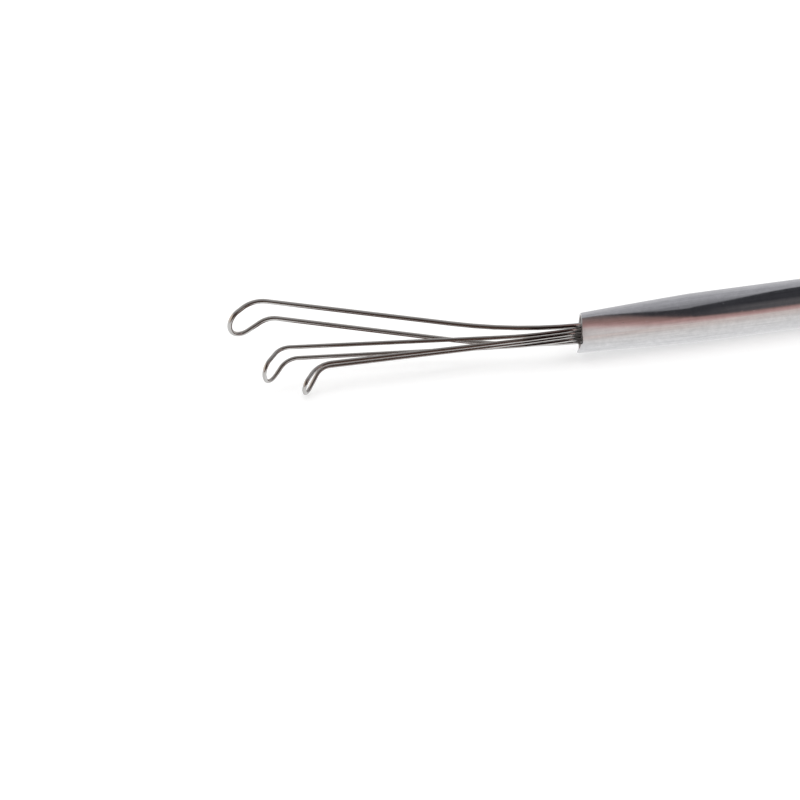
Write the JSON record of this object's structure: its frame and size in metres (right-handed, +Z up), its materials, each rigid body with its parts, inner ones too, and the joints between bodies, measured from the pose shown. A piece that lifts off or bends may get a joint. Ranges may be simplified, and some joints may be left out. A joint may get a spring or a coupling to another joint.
{
  "type": "wire-loop ear pick",
  "caption": "Slim steel handle with sprung wire loops of stepped lengths fanning from its nose, each bent over into a rounded hook, for lifting out ear wax.",
  "frame": {"origin": "centre of the flat tail face, at the handle's rear end", "axes": "+X along the handle's axis, out of the tail, so the wire loops point to -X; +Z up as the tool lies on a table, with the floor one handle radius (2.3 mm) below the origin"},
  "size_m": [0.1251, 0.0104, 0.0068],
  "materials": {
    "handle_steel": "stainless steel tube, polished to a soft satin",
    "spring_wire": "drawn stainless spring wire, bright",
    "ferrule_brass": "turned brass sleeve, hidden in the nose",
    "solder": "dull grey solder, hidden in the nose"
  },
  "bodies": {
    "handle": {"handle_tube": "handle_steel", "tail_cap": "handle_steel", "wire_ferrule": "ferrule_brass", "bond_plug": "solder"},
    "long_loop": {"wire_loop_long": "spring_wire"},
    "middle_loop": {"wire_loop_middle": "spring_wire"},
    "short_loop": {"wire_loop_short": "spring_wire"}
  },
  "joints": [
    {"name": "long_loop_flex", "type": "hinge", "parent": "handle", "child": "long_loop", "pos_m": [-0.09074, -0.00002, -0.00008], "axis": [-0.019, 0.3583, -0.9334], "range_deg": [-1, 6], "stiffness_Nm_per_rad": 0.1},
    {"name": "middle_loop_flex", "type": "hinge", "parent": "handle", "child": "middle_loop", "pos_m": [-0.09074, -0.00002, -0.00008], "axis": [-0.008, 0.342, -0.9397], "range_deg": [-0.6, 1.5], "stiffness_Nm_per_rad": 0.055},
    {"name": "short_loop_flex", "type": "hinge", "parent": "handle", "child": "short_loop", "pos_m": [-0.09074, -0.00002, -0.00008], "axis": [0.0025, 0.515, -0.8572], "range_deg": [-1, 1], "stiffness_Nm_per_rad": 0.063}
  ]
}
